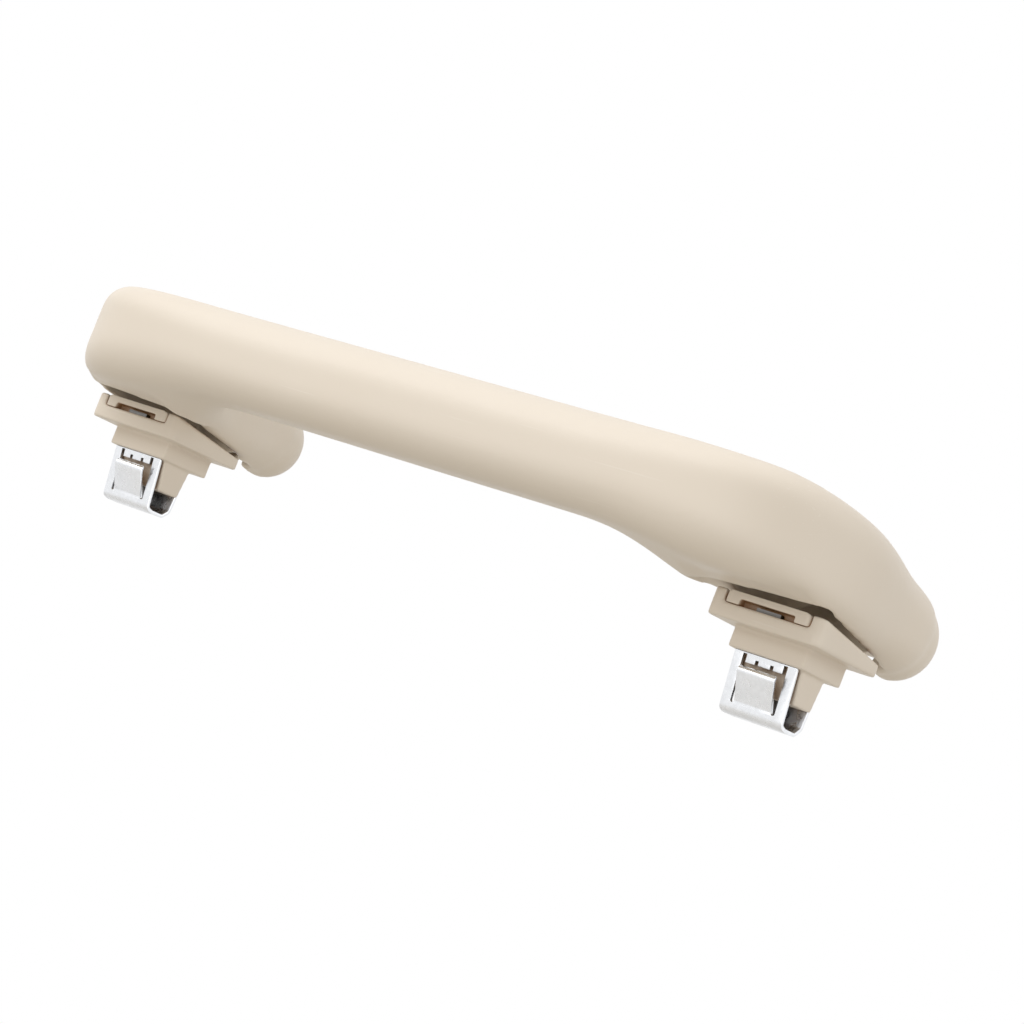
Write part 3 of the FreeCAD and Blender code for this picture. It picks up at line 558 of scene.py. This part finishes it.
def arc_points(centre, radius, start, end, steps):
    """Give points round part of a circle."""
    return [
        (
            centre[0] + radius * math.cos(start + (end - start) * step / steps),
            centre[1] + radius * math.sin(start + (end - start) * step / steps),
        )
        for step in range(steps + 1)
    ]


def clip_openings(sizes):
    """Outline the cut-out that frees the barb and the teeth of the clip's flat blank."""
    inner = sizes.slit_inner
    width = sizes.slit_width
    top = 0.25 * MM
    notch = 1.1 * MM
    half_gap = sizes.teeth_gap / 2
    tooth = 2 * MM
    bend_steps = 8
    corner_steps = 4
    three_quarters = 1.5 * HALF_TURN
    end_radius = width / 2
    end = sizes.slit_end - end_radius
    corner = 0.35 * MM
    left_end = arc_points((-inner - end_radius, end), end_radius, HALF_TURN, 0, bend_steps)
    right_end = arc_points((inner + end_radius, end), end_radius, HALF_TURN, 0, bend_steps)
    corner_place = inner - corner
    corner_depth = sizes.barb_top + corner
    left_barb = arc_points(
        (-corner_place, corner_depth), corner, HALF_TURN, three_quarters, corner_steps)
    right_barb = arc_points(
        (corner_place, corner_depth), corner, three_quarters, FULL_TURN, corner_steps)
    outline = [(-inner - width, top)]
    outline += left_end + left_barb + right_barb + right_end
    outline += [(inner + width, top), (inner, top), (inner, sizes.teeth_low)]
    for place in (tooth, -tooth):
        outline += [
            (place + half_gap, sizes.teeth_low), (place + half_gap, notch),
            (place - half_gap, notch), (place - half_gap, sizes.teeth_low),
        ]
    outline += [(-inner, sizes.teeth_low), (-inner, top)]
    return outline


def flat_blank(name, outlines):
    """Fill the first outline, leaving the others open, and give it as a flat mesh."""
    curve = bpy.data.curves.new(name, "CURVE")
    curve.dimensions = "2D"
    curve.fill_mode = "BOTH"
    for outline in outlines:
        spline = curve.splines.new("POLY")
        spline.points.add(len(outline) - 1)
        for point, (across, along) in zip(spline.points, outline):
            point.co = (across, along, 0, 1)
        spline.use_cyclic_u = True
    holder = bpy.data.objects.new(name, curve)
    bpy.context.scene.collection.objects.link(holder)
    mesh = applied_mesh(holder, name)
    bpy.data.objects.remove(holder)
    return mesh


def clip_leg(sizes):
    """Lead the clip's sheet down the front of the tongue, under it and up its back."""
    upper = -4.93 * MM
    underside = -18.1 * MM
    front_top = (-7.9 * MM, upper)
    front_fold = (-6.0 * MM, -17.6 * MM)
    underside_front = (-4.2 * MM, underside)
    underside_rear = (-0.2 * MM, underside)
    rear_fold = (1.6 * MM, -16.4 * MM)
    rear_top = (2.35 * MM, upper)
    corners = [front_top, front_fold, underside_front, underside_rear, rear_fold, rear_top]
    return folded_path(corners, sizes.clip_bend)


def clip_barb(foot):
    """Lead the barb from its foot up and out, and its lip back in."""
    outermost = (-9.75 * MM, -8.9 * MM)
    lip = (-9.0 * MM, -8.35 * MM)
    bend = 0.55 * MM
    return folded_path([tuple(foot), outermost, lip], bend)


def cut_rows(maker, length, row):
    """Cut a flat blank into rows, so that it can fold."""
    for index in range(1, int(length / row) + 1):
        parts = maker.verts[:] + maker.edges[:] + maker.faces[:]
        bmesh.ops.bisect_plane(
            maker, geom=parts, dist=MERGE_REACH, plane_co=(0, index * row, 0), plane_no=(0, 1, 0))


def fold_blank(maker, side, sizes, leg_at):
    """Fold a flat blank along the clip's leg and its barb along the barb's own line."""
    root_margin = 0.6 * MM
    slack = 0.01 * MM
    root = sizes.slit_end - root_margin
    barb_at, barb_length = clip_barb(leg_at(root))
    centre = SIDES[side] * sizes.bracket_place
    for vertex in maker.verts:
        across, along = vertex.co.x, vertex.co.y
        on_barb = abs(across) <= sizes.slit_inner + slack and sizes.barb_top - slack <= along <= root
        if on_barb:
            share = (root - along) / (root - sizes.barb_top)
            place = barb_at(share * barb_length)
        else:
            place = leg_at(along)
        vertex.co = (centre + across, place.x, place.y)


def thicken_clip(flat, side, sizes):
    """Give the folded sheet its gauge and its rounded cut edges."""
    cut_edge_angle = math.radians(50)
    sharp_angle = math.radians(38)
    holder = bpy.data.objects.new(f"{side}_clip_sheet", flat)
    bpy.context.scene.collection.objects.link(holder)
    wall = holder.modifiers.new("gauge", "SOLIDIFY")
    wall.thickness = sizes.clip_gauge
    wall.offset = 0.0
    wall.use_even_offset = True
    edge = holder.modifiers.new("cut_edges", "BEVEL")
    edge.width = sizes.clip_edge
    edge.segments = 2
    edge.limit_method = "ANGLE"
    edge.angle_limit = cut_edge_angle
    mesh = applied_mesh(holder, f"{side}_clip_steel")
    bpy.data.objects.remove(holder)
    mesh.shade_smooth()
    mesh.set_sharp_from_angle(angle=sharp_angle)
    return mesh


def folded_clip(side, sizes, material):
    """Cut a clip's flat blank, fold it round the tongue and bend its barb out."""
    row = 0.3 * MM
    leg_at, length = clip_leg(sizes)
    half = sizes.clip_half
    sheet = [(-half, 0), (half, 0), (half, length), (-half, length)]
    blank = flat_blank(f"{side}_clip_blank", [sheet, clip_openings(sizes)])
    maker = bmesh.new()
    maker.from_mesh(blank)
    bpy.data.meshes.remove(blank)
    bmesh.ops.remove_doubles(maker, verts=maker.verts, dist=MERGE_REACH)
    cut_rows(maker, length, row)
    fold_blank(maker, side, sizes, leg_at)
    bmesh.ops.recalc_face_normals(maker, faces=maker.faces)
    flat = bpy.data.meshes.new(f"{side}_clip_sheet")
    maker.to_mesh(flat)
    maker.free()
    mesh = thicken_clip(flat, side, sizes)
    return keep_piece(
        mesh, f"{side}_clip_steel", material, f"{side}_bracket", [f"{side}_spring_clip"])


def wound_spring(sizes, material):
    """Wind the return spring from round wire."""
    steps_per_turn = 28
    turns = 3.25
    pitch = 1.0 * MM
    first_turn = 6.1 * MM
    start = -sizes.bracket_place - first_turn
    hinge = Vector(sizes.hinge_place)
    centre = Vector((start, hinge.y, hinge.z))
    maker = bmesh.new()
    place = Matrix.Translation(centre + Vector((0, 0, sizes.coil_radius)))
    facing = Matrix.Rotation(HALF_TURN / 2, 4, "X")
    bmesh.ops.create_circle(
        maker, cap_ends=True, segments=12, radius=sizes.wire_radius, matrix=place @ facing)
    steps = int(turns * steps_per_turn)
    bmesh.ops.spin(
        maker, geom=maker.verts[:] + maker.edges[:] + maker.faces[:], cent=centre, axis=(-1, 0, 0),
        dvec=(-pitch / steps_per_turn, 0, 0), angle=turns * FULL_TURN, steps=steps, use_merge=False)
    bmesh.ops.remove_doubles(maker, verts=maker.verts, dist=MERGE_REACH)
    bmesh.ops.recalc_face_normals(maker, faces=maker.faces)
    for face in maker.faces:
        face.smooth = True
    return finish_piece(
        maker, "return_spring_coil", material, "left_bracket", ["return_spring"])


def dress_node(node, material):
    """Give a node its material."""
    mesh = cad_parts[node].data
    mesh.materials.clear()
    mesh.materials.append(material)


# Operators

class GRABHANDLE_OT_grip(bpy.types.Operator):
    """Mould the grip with soft edges"""

    bl_idname = "grab_handle.grip"
    bl_label = "Grip Moulding"

    def execute(self, context):
        sizes = context.scene.grab_handle_sizes
        mesh = even_moulding("grip_moulding", "grip_shell", sizes.grip_grid, sizes.grip_passes)
        raise_front_rim(mesh, sizes)
        material = beige_moulding("beige_grip")
        keep_piece(mesh, "grip_shell", material, "grip", ["grip_moulding"])
        return {"FINISHED"}


class GRABHANDLE_OT_hinge_blocks(bpy.types.Operator):
    """Mould both hinge blocks with soft edges"""

    bl_idname = "grab_handle.hinge_blocks"
    bl_label = "Hinge Blocks"

    def execute(self, context):
        sizes = context.scene.grab_handle_sizes
        material = beige_moulding("beige_bracket", reach=5.0 * MM, closed=0.12, open_level=0.6)
        for side in SIDES:
            node = f"{side}_hinge_block"
            mesh = even_moulding(node, f"{side}_block_shell", sizes.block_grid, sizes.block_passes)
            keep_piece(mesh, f"{side}_block_shell", material, f"{side}_bracket", [node])
        return {"FINISHED"}


class GRABHANDLE_OT_lock_wedges(bpy.types.Operator):
    """Mould both lock wedges and finish their steel blades"""

    bl_idname = "grab_handle.lock_wedges"
    bl_label = "Lock Wedges"

    def execute(self, context):
        sizes = context.scene.grab_handle_sizes
        finish = context.scene.grab_handle_finish
        material = beige_moulding("beige_wedge", reach=4.0 * MM, closed=0.2, open_level=0.75)
        blade = plain_metal(
            "blade_steel_lines", finish.bare_steel, roughness=0.4, line_scale=(60, 2600, 2600))
        for side in SIDES:
            node = f"{side}_lock_wedge"
            mesh = even_moulding(node, f"{side}_wedge_shell", sizes.head_grid, sizes.head_passes)
            keep_piece(mesh, f"{side}_wedge_shell", material, f"{side}_wedge", [node])
            dress_node(f"{side}_wedge_blade", blade)
        return {"FINISHED"}


class GRABHANDLE_OT_spring_clips(bpy.types.Operator):
    """Cut and fold both steel clips"""

    bl_idname = "grab_handle.spring_clips"
    bl_label = "Spring Clips"

    def execute(self, context):
        sizes = context.scene.grab_handle_sizes
        material = plated_steel("zinc_plating")
        for side in SIDES:
            folded_clip(side, sizes, material)
        return {"FINISHED"}


class GRABHANDLE_OT_hinge_hardware(bpy.types.Operator):
    """Wind the return spring and finish the pins"""

    bl_idname = "grab_handle.hinge_hardware"
    bl_label = "Hinge Pins and Spring"

    def execute(self, context):
        sizes = context.scene.grab_handle_sizes
        finish = context.scene.grab_handle_finish
        pin = plain_metal(
            "pin_steel_turned", finish.bare_steel, roughness=0.28, line_scale=(2600, 40, 40))
        for side in SIDES:
            dress_node(f"{side}_hinge_pin", pin)
        wire = plain_metal(
            "spring_steel_drawn", finish.spring_steel, roughness=0.34, line_scale=(1800, 200, 200))
        wound_spring(sizes, wire)
        return {"FINISHED"}


class GRABHANDLE_OT_damper(bpy.types.Operator):
    """Finish the slow-return damper"""

    bl_idname = "grab_handle.damper"
    bl_label = "Damper"

    def execute(self, context):
        finish = context.scene.grab_handle_finish
        plastic = dark_moulding(
            "dark_damper_plastic", finish.dark_plastic, roughness=0.45, grain=1500.0)
        for node in ("damper_housing", "damper_rotor", "damper_cover"):
            dress_node(node, plastic)
        rubber = dark_moulding("seal_rubber_matt", finish.rubber, roughness=0.7, grain=2400.0)
        dress_node("damper_seal", rubber)
        return {"FINISHED"}


class GRABHANDLE_OT_studio(bpy.types.Operator):
    """Set up the camera, the soft lamps and the pale floor"""

    bl_idname = "grab_handle.studio"
    bl_label = "Studio"

    def execute(self, context):
        studio = context.scene.grab_handle_studio
        place_camera(context.scene, studio)
        hang_lamps(context.scene, studio)
        light_surroundings(context.scene, studio)
        lay_floor(context.scene, studio)
        context.scene.view_settings.view_transform = "Standard"
        return {"FINISHED"}


# Studio

def place_camera(scene, studio):
    """Stand the camera where the product picture was taken from."""
    data = bpy.data.cameras.new("product_camera")
    data.sensor_width = studio.camera_sensor
    data.lens = studio.camera_lens
    data.clip_start = 10 * MM
    camera = bpy.data.objects.new("product_camera", data)
    right = Vector(studio.camera_right).normalized()
    down = Vector(studio.camera_down)
    up = -(down - right * down.dot(right)).normalized()
    back = right.cross(up)
    turn = Matrix((right, up, back)).transposed().to_4x4()
    camera.matrix_world = Matrix.Translation(studio.camera_place) @ turn
    scene.collection.objects.link(camera)
    scene.camera = camera


def hang_lamps(scene, studio):
    """Hang a large soft lamp above and weaker ones at the left, at the right and in front."""
    lamps = (
        ("key_lamp", studio.key_power, studio.key_size, studio.key_place),
        ("side_lamp", studio.side_power, studio.side_size, studio.side_place),
        ("end_lamp", studio.end_power, studio.end_size, studio.end_place),
        ("front_lamp", studio.front_power, studio.front_size, studio.front_place),
    )
    for name, power, size, centre in lamps:
        place = Vector(centre)
        data = bpy.data.lights.new(name, "AREA")
        data.shape = "DISK"
        data.size = size
        data.energy = power
        lamp = bpy.data.objects.new(name, data)
        facing = place.to_track_quat("Z", "Y").to_matrix().to_4x4()
        lamp.matrix_world = Matrix.Translation(place) @ facing
        scene.collection.objects.link(lamp)


def seen_directly(tree):
    """Give 1 for what the camera sees, also mirrored, and 0 for light that falls on the object."""
    path = tree.nodes.new("ShaderNodeLightPath")
    total = None
    for name in ("Is Camera Ray", "Is Glossy Ray", "Is Transmission Ray"):
        if total is None:
            total = path.outputs[name]
            continue
        node = tree.nodes.new("ShaderNodeMath")
        node.operation = "MAXIMUM"
        tree.links.new(total, node.inputs[0])
        tree.links.new(path.outputs[name], node.inputs[1])
        total = node.outputs["Value"]
    return total


def light_surroundings(scene, studio):
    """Surround the object with an even white that shows as white and lights softly."""
    world = bpy.data.worlds.new("white_surroundings")
    scene.world = world
    world.use_nodes = True
    tree = world.node_tree
    tree.nodes.clear()
    output = tree.nodes.new("ShaderNodeOutputWorld")
    background = tree.nodes.new("ShaderNodeBackground")
    seen = seen_directly(tree)
    white = (1, 1, 1)
    tree.links.new(mix_colours(tree, seen, studio.fill_colour, white), background.inputs["Color"])
    strength = add_range(tree, seen, 0, 1, studio.fill_level, 1.0)
    tree.links.new(strength, background.inputs["Strength"])
    tree.links.new(background.outputs["Background"], output.inputs["Surface"])


def lay_floor(scene, studio):
    """Lay a round pale floor that fades into the white surroundings."""
    maker = bmesh.new()
    bmesh.ops.create_circle(
        maker, cap_ends=True, segments=96, radius=studio.floor_radius,
        matrix=Matrix.Translation((0, 0, studio.floor_level)))
    mesh = bpy.data.meshes.new("studio_floor")
    maker.to_mesh(mesh)
    maker.free()
    floor = bpy.data.objects.new("studio_floor", mesh)
    scene.collection.objects.link(floor)
    material = bpy.data.materials.new("pale_floor")
    material.use_nodes = True
    tree = material.node_tree
    tree.nodes.clear()
    output = tree.nodes.new("ShaderNodeOutputMaterial")
    matt = tree.nodes.new("ShaderNodeBsdfDiffuse")
    speckle = spread_noise(tree, add_noise(tree, place_on_object(tree), scale=60.0, detail=3.0), 0, 1)
    lift = 0.02
    paler = [min(1.0, part + lift) for part in studio.floor_colour]
    speckled = mix_colours(tree, speckle, studio.floor_colour, paler)
    tree.links.new(
        mix_colours(tree, seen_directly(tree), studio.floor_light, speckled), matt.inputs["Color"])
    white = tree.nodes.new("ShaderNodeEmission")
    white.inputs["Color"].default_value = (1, 1, 1, 1)
    distance = tree.nodes.new("ShaderNodeVectorMath")
    distance.operation = "LENGTH"
    flat = place_on_object(tree, (1, 1, 0))
    tree.links.new(flat, distance.inputs[0])
    inner = studio.fade_start * studio.floor_radius
    outer = studio.fade_end * studio.floor_radius
    edge = add_range(tree, distance.outputs["Value"], inner, outer, 0, 1)
    mixer = tree.nodes.new("ShaderNodeMixShader")
    tree.links.new(add_product(tree, edge, seen_directly(tree)), mixer.inputs[0])
    tree.links.new(matt.outputs["BSDF"], mixer.inputs[1])
    tree.links.new(white.outputs["Emission"], mixer.inputs[2])
    tree.links.new(mixer.outputs["Shader"], output.inputs["Surface"])
    mesh.materials.append(material)


class GRABHANDLE_PT_panel(bpy.types.Panel):
    """List the pieces and the studio in the sidebar"""

    bl_idname = "GRABHANDLE_PT_panel"
    bl_label = "Grab Handle"
    bl_space_type = "VIEW_3D"
    bl_region_type = "UI"
    bl_category = "Grab Handle"

    def draw(self, context):
        layout = self.layout
        for operator in OPERATORS:
            layout.operator(operator.bl_idname)
        for group in SETTINGS:
            settings = getattr(context.scene, group)
            box = layout.box()
            for name in settings.bl_rna.properties.keys():
                if name not in ("rna_type", "name"):
                    box.prop(settings, name)


OPERATORS = (
    GRABHANDLE_OT_grip,
    GRABHANDLE_OT_hinge_blocks,
    GRABHANDLE_OT_lock_wedges,
    GRABHANDLE_OT_spring_clips,
    GRABHANDLE_OT_hinge_hardware,
    GRABHANDLE_OT_damper,
    GRABHANDLE_OT_studio,
)
SETTINGS = {
    "grab_handle_sizes": GrabHandleSizes,
    "grab_handle_finish": GrabHandleFinish,
    "grab_handle_studio": GrabHandleStudio,
}


def register():
    """Register the settings, the operators and the panel."""
    for name, group in SETTINGS.items():
        bpy.utils.register_class(group)
        setattr(bpy.types.Scene, name, PointerProperty(type=group))
    for item in (*OPERATORS, GRABHANDLE_PT_panel):
        bpy.utils.register_class(item)


def unregister():
    """Take the panel, the operators and the settings out again."""
    for item in reversed((*OPERATORS, GRABHANDLE_PT_panel)):
        bpy.utils.unregister_class(item)
    for name, group in SETTINGS.items():
        delattr(bpy.types.Scene, name)
        bpy.utils.unregister_class(group)


def main():
    """Build every piece and the studio."""
    register()
    for operator in OPERATORS:
        category, action = operator.bl_idname.split(".")
        getattr(getattr(bpy.ops, category), action)()


if __name__ == "__main__":
    main()
